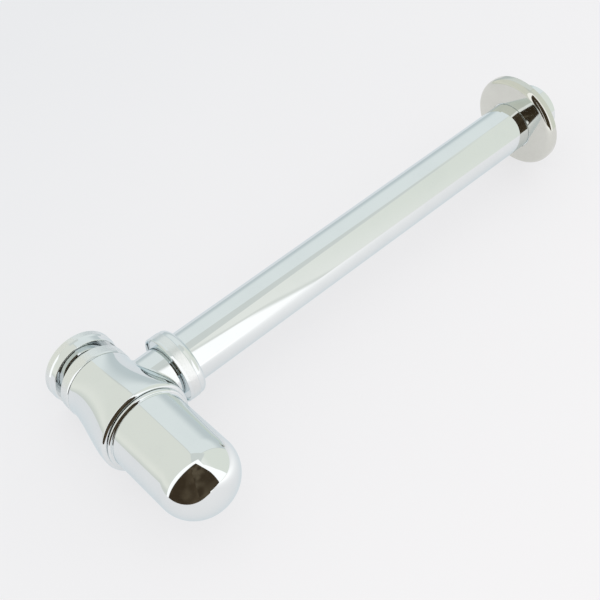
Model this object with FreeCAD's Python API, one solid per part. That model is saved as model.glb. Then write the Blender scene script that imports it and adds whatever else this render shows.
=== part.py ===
"""Bottle trap: domed cup under a bell body, telescopic inlet tube, long outlet pipe and wall flange.

The bottle's axis is Z with the basin inlet on top, and the outlet pipe runs along +Y to the wall.
The origin lies on the bottle's axis in the top plane of the inlet nut. All sizes are millimetres.
"""
import FreeCAD, Part
import math
import os

V = FreeCAD.Vector
Z_AXIS = V(0, 0, 1)
X_AXIS = V(1, 0, 0)
ORIGIN = V(0, 0, 0)
FULL_TURN = 360
QUARTER_TURN = 90
TOLERANCE = 1e-4

# Clearances
SLIDE_CLEARANCE = 0.3  # round a tube that slides in a nut, a seal, a socket or the flange
THREAD_CLEARANCE = 0.3  # between the mean cylinders of two mating threads
SEAT_CLEARANCE = 0.08  # between a cone seal and its seat
SHOULDER_GAP = 0.3  # under the neck nut and over the cup's collar
LOOSE_CLEARANCE = 0.4  # round the flare and the washer in the inlet nut, and round the slip rings

# Inlet tube and outlet pipe, drawn from thin brass
TUBE_R = 16.0
TUBE_WALL = 1.0
TUBE_LENGTH = 103.0
FLARE_WIDTH = 2.6
FLARE_THICKNESS = 1.0
PIPE_R = 16.0
PIPE_WALL = 1.0
PIPE_LENGTH = 315.1
PIPE_FREE_END = 17.4  # behind the wall flange
TUBE_END_CHAMFER = 0.3

# Inlet nut
INLET_THREAD_R = 19.5
INLET_THREAD_LENGTH = 4.8
INLET_MOUTH_CHAMFER = 0.4
INLET_NUT_WALL = 3.2
INLET_NUT_FLOOR = 1.6
INLET_KNURL_HEIGHT = 4.6
INLET_SHOULDER_STEP = 0.5  # from the knurled band in to the plain shoulder
INLET_SHOULDER_TAPER = 0.3
WASHER_THICKNESS = 2.0
WASHER_WIDTH = 3.2

# Neck nut, slip ring and cone seal round the inlet tube
NUT_GAP = 6.3  # between the inlet nut and the neck nut, as the tube is set
NECK_SEAL_SECTION = 2.1
NECK_SEAL_DEPTH = 4.2
NECK_SEAL_PROUD = 0.9
NECK_RING_THICKNESS = 0.8
NECK_WALL = 1.6
NECK_THREAD_LENGTH = 4.5
NECK_NUT_WALL = 1.9
NECK_NUT_FLOOR = 1.4
NECK_NUT_CHAMFER = 0.4

# Bell body
NECK_SHOULDER = 1.8  # from the neck thread out to the bell
NECK_LAND = 4.5  # length of the bore that guides the tube under the seal
OUTLET_BELOW_SHOULDER = 20.5
BELL_HEIGHT = 46.0
BELL_TOP_STRAIGHT = 2.0
BELL_TOP_PULL = 11.5
BELL_BOTTOM_PULL = 10.5
LIP_STRAIGHT = 1.0
LIP_ROUNDING = 2.1
LIP_CORNER = 0.5
RIM_WALL = 3.2
BELL_WALL = 2.3
CUP_THREAD_LENGTH = 6.6
LEDGE_HEIGHT = 2.4
EDGE_ROUNDING = 0.4

# Outlet spigot with its threaded collar
SPIGOT_REACH = 41.5  # from the bottle's axis to the collar's end
SPIGOT_STEP = 0.1  # of the spigot's neck over the pipe's radius
SPIGOT_WALL = 1.8
SPIGOT_FILLET = 1.8
COLLAR_LENGTH = 7.5
COLLAR_WALL = 1.4
SOCKET_DEPTH = 5.9
PIPE_END_GAP = 0.3
OUTLET_SEAL_SECTION = 1.8
OUTLET_SEAL_DEPTH = 3.4
OUTLET_SEAL_PROUD = 1.0
OUTLET_RING_THICKNESS = 0.8
OUTLET_NUT_WALL = 1.6
OUTLET_NUT_FLOOR = 1.6
OUTLET_NUT_LENGTH = 12.2
OUTLET_NUT_MOUTH = 0.7  # widening of the bore at the open end
OUTLET_MOUTH_DEPTH = 1.6
OUTLET_KNURL_LENGTH = 7.1
OUTLET_SHOULDER_STEP = 0.3
OUTLET_SHOULDER_ROUNDING = 3.6

# Cup and its flat seal
CUP_R = 24.1
CUP_WALL = 1.5
CUP_THREAD_STEP = 0.6  # of the thread over the cup's wall
CUP_COLLAR_STEP = 1.9  # of the visible collar over the cup's wall
CUP_COLLAR_HEIGHT = 1.9
CUP_COLLAR_ROUNDING = 1.2
CUP_STRAIGHT = 44.3  # from the collar's top to the start of the dome
DOME_CENTRE_INSET = 2.6  # of the dome's side arc, from the axis
DOME_CROWN_EXTRA = 7.5  # of the crown's radius over the side arc's
CUP_SEAL_THICKNESS = 1.8
CUP_SEAL_WIDTH = 2.1

# Wall flange, pressed from sheet
FLANGE_R = 31.7
FLANGE_SHEET = 0.9
FLANGE_DEPTH = 9.8
FLANGE_FACE_RISE = 3.5  # of the hole's edge in front of the rim
FLANGE_RIM_ROUNDING = 4.0

# Stack along the bottle's axis, from the inlet down
inlet_seat_top = -INLET_THREAD_LENGTH
washer_bottom = inlet_seat_top - WASHER_THICKNESS
flare_bottom = washer_bottom - FLARE_THICKNESS
inlet_nut_bottom = flare_bottom - INLET_NUT_FLOOR
neck_nut_top = inlet_nut_bottom - NUT_GAP
neck_ring_top = neck_nut_top - NECK_NUT_FLOOR
neck_seal_top = neck_ring_top - NECK_RING_THICKNESS
neck_top = neck_seal_top - NECK_SEAL_PROUD
bell_top = neck_top - NECK_THREAD_LENGTH
neck_nut_bottom = bell_top + SHOULDER_GAP
outlet_z = bell_top - OUTLET_BELOW_SHOULDER
bell_bottom = bell_top - BELL_HEIGHT
cup_collar_top = bell_bottom - SHOULDER_GAP
cup_top = bell_bottom + CUP_THREAD_LENGTH
ledge_bottom = cup_top + CUP_SEAL_THICKNESS
ledge_top = ledge_bottom + LEDGE_HEIGHT

# Radii round the bottle's axis
tube_hole_r = TUBE_R + SLIDE_CLEARANCE
neck_seat_r = tube_hole_r + NECK_SEAL_SECTION
neck_thread_r = neck_seat_r + NECK_WALL
neck_nut_bore_r = neck_thread_r + THREAD_CLEARANCE
neck_nut_r = neck_nut_bore_r + NECK_NUT_WALL
bell_neck_r = neck_thread_r + NECK_SHOULDER
cup_thread_r = CUP_R + CUP_THREAD_STEP
rim_bore_r = cup_thread_r + THREAD_CLEARANCE
rim_r = rim_bore_r + RIM_WALL
cup_bore_r = CUP_R - CUP_WALL
flare_r = TUBE_R + FLARE_WIDTH
inlet_seat_r = flare_r + LOOSE_CLEARANCE
inlet_nut_r = INLET_THREAD_R + INLET_NUT_WALL

# Stack along the outlet's axis, from the bottle out
collar_back = SPIGOT_REACH - COLLAR_LENGTH
socket_floor = SPIGOT_REACH - SOCKET_DEPTH
pipe_start = socket_floor + PIPE_END_GAP
pipe_end = pipe_start + PIPE_LENGTH
outlet_seal_end = SPIGOT_REACH + OUTLET_SEAL_PROUD
outlet_ring_end = outlet_seal_end + OUTLET_RING_THICKNESS
outlet_nut_end = outlet_ring_end + OUTLET_NUT_FLOOR
outlet_nut_mouth = outlet_nut_end - OUTLET_NUT_LENGTH
flange_back = pipe_end - PIPE_FREE_END
flange_front = flange_back - FLANGE_DEPTH

# Radii round the outlet's axis
pipe_hole_r = PIPE_R + SLIDE_CLEARANCE
spigot_r = PIPE_R + SPIGOT_STEP
spigot_bore_r = spigot_r - SPIGOT_WALL
outlet_seat_r = pipe_hole_r + OUTLET_SEAL_SECTION
collar_r = outlet_seat_r + COLLAR_WALL
outlet_nut_bore_r = collar_r + THREAD_CLEARANCE
outlet_nut_r = outlet_nut_bore_r + OUTLET_NUT_WALL


def corner(before, here, after, rounding):
    """Start, middle and end of the tangent arc that rounds one corner of an outline."""
    back = (before - here).normalize()
    ahead = (after - here).normalize()
    half = back.getAngle(ahead) / 2
    reach = rounding / math.tan(half)
    bisector = (back + ahead).normalize()
    centre = here + bisector * (rounding / math.sin(half))
    return here + back * reach, centre - bisector * rounding, here + ahead * reach


def outline(points):
    """Edges through (radius, height, corner rounding) points in the X-Z plane, not closed."""
    places = [V(p[0], 0, p[1]) for p in points]
    edges = []
    last = places[0]
    for i in range(1, len(points) - 1):
        rounding = points[i][2] if len(points[i]) > 2 else 0
        if not rounding:
            edges.append(Part.LineSegment(last, places[i]).toShape())
            last = places[i]
            continue
        start, middle, end = corner(places[i - 1], places[i], places[i + 1], rounding)
        if (start - last).Length > TOLERANCE:
            edges.append(Part.LineSegment(last, start).toShape())
        edges.append(Part.Arc(start, middle, end).toShape())
        last = end
    edges.append(Part.LineSegment(last, places[-1]).toShape())
    return edges


def turn(edges):
    """Solid turned round the Z axis from the edges of a closed section."""
    wire = Part.Wire(Part.__sortEdges__(edges))
    return Part.makeSolid(Part.Face(wire).revolve(ORIGIN, Z_AXIS, FULL_TURN))


def turned(points):
    """Solid turned round the Z axis from (radius, height, corner rounding) points."""
    return turn(outline(list(points) + [points[0]]))


def on_outlet(shape):
    """The shape, modelled along Z, laid along the outlet's axis."""
    laid = shape.copy()
    laid.rotate(ORIGIN, X_AXIS, -QUARTER_TURN)
    laid.translate(V(0, 0, outlet_z))
    return laid


def inlet_nut():
    """Coupling nut with a knurled band, a plain shoulder and a floor under the tube's flare."""
    knurl_bottom = -INLET_KNURL_HEIGHT
    shoulder_r = inlet_nut_r - INLET_SHOULDER_STEP
    return turned([
        (INLET_THREAD_R, -INLET_MOUTH_CHAMFER),
        (INLET_THREAD_R + INLET_MOUTH_CHAMFER, 0),
        (inlet_nut_r, 0, EDGE_ROUNDING),
        (inlet_nut_r, knurl_bottom, EDGE_ROUNDING),
        (shoulder_r, knurl_bottom - EDGE_ROUNDING),
        (shoulder_r - INLET_SHOULDER_TAPER, inlet_nut_bottom, EDGE_ROUNDING),
        (tube_hole_r, inlet_nut_bottom),
        (tube_hole_r, flare_bottom),
        (inlet_seat_r, flare_bottom),
        (inlet_seat_r, inlet_seat_top),
        (INLET_THREAD_R, inlet_seat_top),
    ])


def inlet_washer():
    """Flat rubber ring on the tube's flare."""
    return turned([
        (flare_r - WASHER_WIDTH, washer_bottom),
        (flare_r, washer_bottom),
        (flare_r, inlet_seat_top),
        (flare_r - WASHER_WIDTH, inlet_seat_top),
    ])


def inlet_tube():
    """Telescopic tube that dips into the cup's water, with a flared top."""
    bottom = washer_bottom - TUBE_LENGTH
    bore_r = TUBE_R - TUBE_WALL
    return turned([
        (bore_r, washer_bottom, EDGE_ROUNDING),
        (flare_r, washer_bottom),
        (flare_r, flare_bottom),
        (TUBE_R, flare_bottom),
        (TUBE_R, bottom + TUBE_END_CHAMFER),
        (TUBE_R - TUBE_END_CHAMFER, bottom),
        (bore_r, bottom),
    ])


def neck_nut():
    """Knurled compression nut that closes the neck on the seal."""
    return turned([
        (tube_hole_r, neck_nut_top),
        (neck_nut_r - NECK_NUT_CHAMFER, neck_nut_top),
        (neck_nut_r, neck_nut_top - NECK_NUT_CHAMFER),
        (neck_nut_r, neck_nut_bottom),
        (neck_nut_bore_r, neck_nut_bottom),
        (neck_nut_bore_r, neck_ring_top),
        (tube_hole_r, neck_ring_top),
    ])


def slip_ring(inner_r, outer_r, bottom, top):
    """Thin ring that lets a nut turn on its seal."""
    return turned([(inner_r, bottom), (outer_r, bottom), (outer_r, top), (inner_r, top)])


def cone_seal(inner_r, seat_r, section, depth, mouth, top):
    """Rubber ring that wedges into a tapered seat whose mouth is at the given height."""
    taper_foot = seat_r - section + SEAT_CLEARANCE
    outer_r = seat_r - SEAT_CLEARANCE
    return turned([
        (inner_r, mouth - depth + EDGE_ROUNDING),
        (taper_foot, mouth - depth + EDGE_ROUNDING),
        (outer_r, mouth),
        (outer_r, top),
        (inner_r, top),
    ])


def bell():
    """Outer form of the body: threaded neck, flaring flank and rounded lip, filled."""
    flank_top = bell_top - BELL_TOP_STRAIGHT
    flank_bottom = bell_bottom + LIP_ROUNDING + LIP_STRAIGHT
    flank = Part.BezierCurve()
    flank.setPoles([
        V(bell_neck_r, 0, flank_top),
        V(bell_neck_r, 0, flank_top - BELL_TOP_PULL),
        V(rim_r, 0, flank_bottom + BELL_BOTTOM_PULL),
        V(rim_r, 0, flank_bottom),
    ])
    below = outline([
        (rim_r, flank_bottom),
        (rim_r, bell_bottom, LIP_ROUNDING),
        (0, bell_bottom),
        (0, neck_top),
        (neck_thread_r, neck_top, LIP_CORNER),
        (neck_thread_r, bell_top),
        (bell_neck_r, bell_top, EDGE_ROUNDING),
        (bell_neck_r, flank_top),
    ])
    return turn([flank.toShape()] + below)


def spigot():
    """Outlet branch: a plain neck and the threaded collar that takes the pipe, filled."""
    return on_outlet(turned([
        (0, 0),
        (spigot_r, 0),
        (spigot_r, collar_back),
        (collar_r, collar_back, EDGE_ROUNDING),
        (collar_r, SPIGOT_REACH, LIP_CORNER),
        (0, SPIGOT_REACH),
    ]))


def bell_hollow():
    """Space inside the body, from the cup's thread up to the seat of the neck seal."""
    roof = neck_top - NECK_SEAL_DEPTH - NECK_LAND
    return turned([
        (0, bell_bottom),
        (rim_bore_r, bell_bottom),
        (rim_bore_r, ledge_bottom),
        (cup_bore_r, ledge_bottom),
        (cup_bore_r, ledge_top),
        (rim_r - RIM_WALL, ledge_top + RIM_WALL - BELL_WALL),
        (bell_neck_r - BELL_WALL, roof, EDGE_ROUNDING),
        (tube_hole_r, roof),
        (tube_hole_r, neck_top - NECK_SEAL_DEPTH),
        (neck_seat_r, neck_top),
        (0, neck_top),
    ])


def spigot_hollow():
    """Waterway and pipe socket through the outlet branch, with the seat of its seal."""
    seat_foot = SPIGOT_REACH - OUTLET_SEAL_DEPTH
    return on_outlet(turned([
        (0, 0),
        (spigot_bore_r, 0),
        (spigot_bore_r, socket_floor),
        (pipe_hole_r, socket_floor),
        (pipe_hole_r, seat_foot),
        (outlet_seat_r, SPIGOT_REACH),
        (0, SPIGOT_REACH),
    ]))


def is_spigot_neck(face):
    """Whether a face is the plain round neck of the outlet branch."""
    surface = face.Surface
    if not isinstance(surface, Part.Cylinder):
        return False
    along_outlet = abs(surface.Axis.y) > 1 - TOLERANCE
    return along_outlet and abs(surface.Radius - spigot_r) < TOLERANCE


def branch_edges(shape):
    """Edges where the spigot's neck leaves the bell."""
    neck = next(face for face in shape.Faces if is_spigot_neck(face))
    return [
        edge for edge in neck.Edges
        if not edge.isSeam(neck) and edge.BoundBox.YMax < collar_back - TOLERANCE
    ]


def trap_body():
    """Cast bell with its outlet branch, blended outside and hollow inside."""
    outside = bell().fuse(spigot()).removeSplitter()
    outside = outside.makeFillet(SPIGOT_FILLET, branch_edges(outside))
    return outside.cut(bell_hollow()).cut(spigot_hollow()).Solids[0]


def cup_seal():
    """Flat ring between the cup's top edge and the ledge in the body."""
    outer_r = cup_bore_r + CUP_SEAL_WIDTH
    return turned([
        (cup_bore_r, cup_top),
        (outer_r, cup_top),
        (outer_r, ledge_bottom),
        (cup_bore_r, ledge_bottom),
    ])


def dome(radius, centre_z, inset, crown_extra):
    """Edges of a bowl from its wall to the axis: a side arc and a flatter crown, tangent."""
    side = radius - inset
    lift = math.sqrt(crown_extra ** 2 - inset ** 2)
    crown = side + crown_extra
    turn_angle = math.atan2(lift, inset)
    side_centre = V(inset, 0, centre_z)
    crown_centre = V(0, 0, centre_z + lift)

    def on_side(angle):
        return side_centre + V(math.cos(angle), 0, -math.sin(angle)) * side

    def on_crown(angle):
        return crown_centre + V(math.cos(angle), 0, -math.sin(angle)) * crown

    start = on_side(0)
    middle = on_crown((turn_angle + math.pi / 2) / 2)
    join = on_side(turn_angle)
    return [
        Part.Arc(start, on_side(turn_angle / 2), join).toShape(),
        Part.Arc(join, middle, on_crown(math.pi / 2)).toShape(),
    ]


def cup():
    """Screw-on cup with a rounded collar under the body's lip and a domed bottom."""
    dome_z = cup_collar_top - CUP_STRAIGHT
    collar_bottom = cup_collar_top - CUP_COLLAR_HEIGHT
    cup_collar_r = CUP_R + CUP_COLLAR_STEP
    outside = dome(CUP_R, dome_z, DOME_CENTRE_INSET, DOME_CROWN_EXTRA)
    inside = dome(cup_bore_r, dome_z, DOME_CENTRE_INSET, DOME_CROWN_EXTRA)
    outer_tip = outside[-1].Vertexes[-1].Point
    inner_tip = inside[-1].Vertexes[-1].Point
    walls = outline([
        (CUP_R, dome_z),
        (CUP_R, collar_bottom, EDGE_ROUNDING),
        (cup_collar_r, collar_bottom, CUP_COLLAR_ROUNDING),
        (cup_collar_r, cup_collar_top, EDGE_ROUNDING),
        (cup_thread_r, cup_collar_top),
        (cup_thread_r, cup_top, EDGE_ROUNDING),
        (cup_bore_r, cup_top),
        (cup_bore_r, dome_z),
    ])
    return turn(walls + outside + inside + [Part.LineSegment(outer_tip, inner_tip).toShape()])


def outlet_nut():
    """Compression nut with a knurled band at its open end and a rounded plain shoulder."""
    knurl_end = outlet_nut_mouth + OUTLET_KNURL_LENGTH
    shoulder_r = outlet_nut_r - OUTLET_SHOULDER_STEP
    mouth_r = outlet_nut_bore_r + OUTLET_NUT_MOUTH
    return on_outlet(turned([
        (mouth_r, outlet_nut_mouth),
        (outlet_nut_r, outlet_nut_mouth, EDGE_ROUNDING),
        (outlet_nut_r, knurl_end),
        (shoulder_r, knurl_end),
        (shoulder_r, outlet_nut_end, OUTLET_SHOULDER_ROUNDING),
        (pipe_hole_r, outlet_nut_end),
        (pipe_hole_r, outlet_ring_end),
        (outlet_nut_bore_r, outlet_ring_end),
        (outlet_nut_bore_r, outlet_nut_mouth + OUTLET_MOUTH_DEPTH),
        (mouth_r, outlet_nut_mouth + OUTLET_MOUTH_DEPTH - OUTLET_NUT_MOUTH),
    ]))


def outlet_pipe():
    """Straight thin pipe from the spigot's socket through the wall flange."""
    bore_r = PIPE_R - PIPE_WALL
    end_r = PIPE_R - TUBE_END_CHAMFER
    return on_outlet(turned([
        (bore_r, pipe_start),
        (end_r, pipe_start),
        (PIPE_R, pipe_start + TUBE_END_CHAMFER),
        (PIPE_R, pipe_end - TUBE_END_CHAMFER),
        (end_r, pipe_end),
        (bore_r, pipe_end),
    ]))


def wall_flange():
    """Pressed rosette: a dished face from the pipe's hole to a rounded rim with a short skirt."""
    rim = flange_front + FLANGE_FACE_RISE
    inner_r = FLANGE_R - FLANGE_SHEET
    return on_outlet(turned([
        (pipe_hole_r, flange_front + FLANGE_SHEET),
        (pipe_hole_r, flange_front, EDGE_ROUNDING),
        (FLANGE_R, rim, FLANGE_RIM_ROUNDING),
        (FLANGE_R, flange_back),
        (inner_r, flange_back),
        (inner_r, rim + FLANGE_SHEET, FLANGE_RIM_ROUNDING - FLANGE_SHEET),
    ]))


def parts():
    """Every piece by its name."""
    neck_ring_r = neck_nut_bore_r - LOOSE_CLEARANCE
    outlet_ring_r = outlet_nut_bore_r - LOOSE_CLEARANCE
    return {
        "inlet_nut": inlet_nut(),
        "inlet_washer": inlet_washer(),
        "inlet_tube": inlet_tube(),
        "neck_nut": neck_nut(),
        "neck_slip_ring": slip_ring(tube_hole_r, neck_ring_r, neck_seal_top, neck_ring_top),
        "neck_seal": cone_seal(
            tube_hole_r, neck_seat_r, NECK_SEAL_SECTION, NECK_SEAL_DEPTH, neck_top, neck_seal_top
        ),
        "trap_body": trap_body(),
        "cup_seal": cup_seal(),
        "cup": cup(),
        "outlet_nut": outlet_nut(),
        "outlet_slip_ring": on_outlet(
            slip_ring(pipe_hole_r, outlet_ring_r, outlet_seal_end, outlet_ring_end)
        ),
        "outlet_seal": on_outlet(cone_seal(
            pipe_hole_r, outlet_seat_r, OUTLET_SEAL_SECTION, OUTLET_SEAL_DEPTH,
            SPIGOT_REACH, outlet_seal_end,
        )),
        "outlet_pipe": outlet_pipe(),
        "wall_flange": wall_flange(),
    }


os.makedirs("parts", exist_ok=True)
for name, shape in parts().items():
    shape.exportStep(f"parts/{name}.step")
    box = shape.BoundBox
    print(
        f"{name}: solids {len(shape.Solids)}, valid {shape.isValid()}, volume {shape.Volume:.1f}, "
        f"z {box.ZMin:.2f} to {box.ZMax:.2f}, y {box.YMin:.2f} to {box.YMax:.2f}"
    )
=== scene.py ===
import logging
import math
from dataclasses import dataclass
from enum import Enum
from typing import Callable, Dict, List, Mapping, Optional, Sequence, Tuple, Union

import bmesh
import bpy
from mathutils import Matrix, Vector


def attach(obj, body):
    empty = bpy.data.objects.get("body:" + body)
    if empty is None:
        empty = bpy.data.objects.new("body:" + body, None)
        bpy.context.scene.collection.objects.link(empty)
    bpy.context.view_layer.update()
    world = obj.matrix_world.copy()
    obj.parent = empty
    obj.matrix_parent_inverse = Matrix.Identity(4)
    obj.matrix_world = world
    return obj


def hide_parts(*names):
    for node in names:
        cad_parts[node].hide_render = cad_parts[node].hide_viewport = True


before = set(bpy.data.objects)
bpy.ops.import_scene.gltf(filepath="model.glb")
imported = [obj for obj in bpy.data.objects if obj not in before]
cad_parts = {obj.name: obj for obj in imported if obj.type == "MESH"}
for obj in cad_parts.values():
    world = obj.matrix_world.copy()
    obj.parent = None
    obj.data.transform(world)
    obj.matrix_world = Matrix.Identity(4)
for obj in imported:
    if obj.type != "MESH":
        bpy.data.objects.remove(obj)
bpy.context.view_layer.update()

LOG = logging.getLogger("bottle_trap")
MM = 0.001
FULL_TURN = 2.0 * math.pi

Number = Union[int, float]
Colour = Tuple[float, float, float]
Triple = Tuple[float, float, float]
Span = Tuple[float, float]

OUTLET_HEIGHT = -43.8 * MM
TABLE_NORMAL: Triple = (0.9958, 0.0181, -0.0898)
# A vertex this near a wall lies on it, and vertices this close are one
ON_WALL = 0.02 * MM
WELD = 0.002 * MM

# Millimetres that several pieces share
TUBE_HOLE_R = 16.3
PIPE_PITCH = 2.309
COLLAR_PITCH = 1.5
CUP_PITCH = 2.0
KNURL_DEPTH = 0.045
FINE_KNURL_DEPTH = 0.018
KNURL_STEPS = 264


class Body(Enum):
    """Moving bodies of the trap that new pieces ride on."""

    TRAP = "trap_body"
    CUP = "cup"
    NECK_NUT = "neck_nut"
    INLET_NUT = "inlet_nut"
    OUTLET_NUT = "outlet_nut"
    FLANGE = "wall_flange"


class Slot(Enum):
    """Material slots of the record."""

    CHROME = "chrome_plate"
    STEEL = "polished_steel"
    RUBBER = "seal_rubber"
    PLASTIC = "slip_plastic"


class Run(Enum):
    """The two lines that turned pieces lie on."""

    BOTTLE = "bottle"
    OUTLET = "outlet"


def run_matrix(run: Run) -> Matrix:
    """Place of a run in the row frame.

    Args:
        run: the bottle's own axis or the outlet's axis.

    Returns:
        Matrix that takes a piece turned round Z to its place.
    """
    if run is Run.BOTTLE:
        return Matrix.Identity(4)
    lay = Matrix.Rotation(-math.pi / 2.0, 4, "X")
    return Matrix.Translation((0.0, 0.0, OUTLET_HEIGHT)) @ lay


def opaque(colour: Colour) -> Tuple[float, float, float, float]:
    """Colour with a full alpha."""
    return (*colour, 1.0)


class Wire:
    """One output socket, with arithmetic that adds Math nodes."""

    def __init__(self, graph: "Graph", socket: Optional[bpy.types.NodeSocket]) -> None:
        """Keeps the graph and the socket together."""
        self.graph = graph
        self.socket = socket

    def math(self, operation: str, *values: Union["Wire", Number]) -> "Wire":
        """Math node on these values.

        Args:
            operation: name of the Math node's operation.
            values: wires or numbers, in the order of the node's sockets.

        Returns:
            The result.
        """
        return self.graph.node("ShaderNodeMath", {"operation": operation}, dict(enumerate(values)))

    def __add__(self, other: Union["Wire", Number]) -> "Wire":
        """self + other"""
        return self.math("ADD", self, other)

    def __radd__(self, other: Number) -> "Wire":
        """other + self"""
        return self.math("ADD", other, self)

    def __sub__(self, other: Union["Wire", Number]) -> "Wire":
        """self - other"""
        return self.math("SUBTRACT", self, other)

    def __rsub__(self, other: Number) -> "Wire":
        """other - self"""
        return self.math("SUBTRACT", other, self)

    def __mul__(self, other: Union["Wire", Number]) -> "Wire":
        """self * other"""
        return self.math("MULTIPLY", self, other)

    def __rmul__(self, other: Number) -> "Wire":
        """other * self"""
        return self.math("MULTIPLY", other, self)

    def __truediv__(self, other: Union["Wire", Number]) -> "Wire":
        """self / other"""
        return self.math("DIVIDE", self, other)

    def __rtruediv__(self, other: Number) -> "Wire":
        """other / self"""
        return self.math("DIVIDE", other, self)

    def __abs__(self) -> "Wire":
        """abs(self)"""
        return self.math("ABSOLUTE", self)

    def sine(self) -> "Wire":
        """Sine of the value in radians."""
        return self.math("SINE", self)

    def either(self, other: "Wire") -> "Wire":
        """The larger of the two."""
        return self.math("MAXIMUM", self, other)

    def ramp(self, low: float, high: float) -> "Wire":
        """Smooth rise from 0 at low to 1 at high."""
        limits = {"Value": self, "From Min": low, "From Max": high}
        return self.graph.node("ShaderNodeMapRange", {"interpolation_type": "SMOOTHSTEP"}, limits)

    def between(self, low: float, high: float) -> "Wire":
        """A 0 to 1 value taken linearly to low to high."""
        return self * (high - low) + low


class Graph:
    """Node tree of one material or world, empty at the start."""

    MIX_INPUTS = (0, 6, 7)
    MIX_RESULT = 2

    def __init__(self, tree: bpy.types.NodeTree) -> None:
        """Clears the tree.

        Args:
            tree: the node tree to write.
        """
        self.tree = tree
        tree.nodes.clear()

    def node(
        self,
        kind: str,
        settings: Optional[Mapping[str, object]] = None,
        sockets: Optional[Mapping[Union[str, int], object]] = None,
        output: Union[str, int] = 0,
    ) -> Wire:
        """Adds one node.

        Args:
            kind: the node's type.
            settings: properties to set first; "stops" are (place, colour) pairs of a ramp.
            sockets: input sockets with their values or wires.
            output: the output that is wanted.

        Returns:
            The wanted output.
        """
        made = self.tree.nodes.new(kind)
        for name, value in (settings or {}).items():
            if name == "stops":
                self._set_stops(made.color_ramp, value)
            else:
                setattr(made, name, value)
        for key, value in (sockets or {}).items():
            if isinstance(value, Wire):
                self.tree.links.new(value.socket, made.inputs[key])
            else:
                made.inputs[key].default_value = value
        return Wire(self, made.outputs[output] if len(made.outputs) else None)

    @staticmethod
    def _set_stops(ramp: bpy.types.ColorRamp, stops: Sequence[Tuple[float, Colour]]) -> None:
        """Writes a colour ramp's stops.

        Args:
            ramp: the ramp.
            stops: (place, colour) pairs, at least two.
        """
        while len(ramp.elements) < len(stops):
            ramp.elements.new(1.0)
        for element, (place, colour) in zip(ramp.elements, stops):
            element.position = place
            element.color = opaque(colour)

    def mix(self, factor: Wire, first: Union[Wire, Colour], second: Union[Wire, Colour]) -> Wire:
        """Colour between two.

        Args:
            factor: 0 gives the first, 1 the second.
            first: a wire or a colour.
            second: a wire or a colour.

        Returns:
            The mixed colour.
        """
        ends = [c if isinstance(c, Wire) else opaque(c) for c in (first, second)]
        sockets = dict(zip(self.MIX_INPUTS, (factor, *ends)))
        return self.node("ShaderNodeMix", {"data_type": "RGBA"}, sockets, self.MIX_RESULT)

    def place(self, stretch: Triple = (1.0, 1.0, 1.0), shift: Triple = (0.0, 0.0, 0.0)) -> Wire:
        """Object coordinates, shifted and stretched.

        Args:
            stretch: scale along each axis.
            shift: the point that becomes the origin, in metres.

        Returns:
            The coordinates.
        """
        raw = self.node("ShaderNodeTexCoord", output="Object")
        moved = {
            "Vector": raw,
            "Location": tuple(-s * k for s, k in zip(shift, stretch)),
            "Scale": stretch,
        }
        return self.node("ShaderNodeMapping", sockets=moved)

    def dot(self, place: Wire, way: Triple) -> Wire:
        """Dot product of a vector and a fixed direction.

        Args:
            place: the vector.
            way: the direction.

        Returns:
            The product.
        """
        pair = {0: place, 1: way}
        return self.node("ShaderNodeVectorMath", {"operation": "DOT_PRODUCT"}, pair, "Value")

    def bump(self, height: Wire, depth: float, share: float) -> Wire:
        """Normal of a finely uneven surface.

        Args:
            height: the unevenness.
            depth: its depth in metres.
            share: how much of it shows, from 0 to 1.

        Returns:
            The normal.
        """
        values = {"Strength": share, "Distance": depth, "Height": height}
        return self.node("ShaderNodeBump", sockets=values)

    def light_path(self, ray: str) -> Wire:
        """1 for rays of a kind, 0 for the others."""
        return self.node("ShaderNodeLightPath", output=ray)

    def mixed_shader(self, share: Wire, first: Wire, second: Wire) -> Wire:
        """Shader between two; a share of 0 gives the first."""
        return self.node("ShaderNodeMixShader", sockets={0: share, 1: first, 2: second})


@dataclass(frozen=True)
class Cloud:
    """Noise that varies a finish; the scale is in cells to a metre."""

    scale: float
    octaves: float = 3.0
    weight: float = 0.55
    span: Span = (0.0, 1.0)
    stretch: Triple = (1.0, 1.0, 1.0)

    def raw(self, graph: Graph, place: Optional[Wire] = None) -> Wire:
        """The noise's own value.

        Args:
            graph: the graph to write.
            place: coordinates, or None for stretched object coordinates.

        Returns:
            A value from 0 to 1.
        """
        values = {
            "Vector": place or graph.place(self.stretch),
            "Scale": self.scale,
            "Detail": self.octaves,
            "Roughness": self.weight,
        }
        return graph.node("ShaderNodeTexNoise", sockets=values)

    def patches(self, graph: Graph, place: Optional[Wire] = None) -> Wire:
        """The noise with its span taken to 0 and 1."""
        return self.raw(graph, place).ramp(*self.span)


def new_material(name: str) -> Tuple[bpy.types.Material, Graph]:
    """Material with an empty graph.

    Args:
        name: the material's name.

    Returns:
        The material and its graph.
    """
    material = bpy.data.materials.new(name)
    material.use_nodes = True
    return material, Graph(material.node_tree)


def close_material(graph: Graph, surface: Wire) -> None:
    """Links the surface to the material's output.

    Args:
        graph: the material's graph.
        surface: the shader.
    """
    graph.node("ShaderNodeOutputMaterial", sockets={"Surface": surface})


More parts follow.
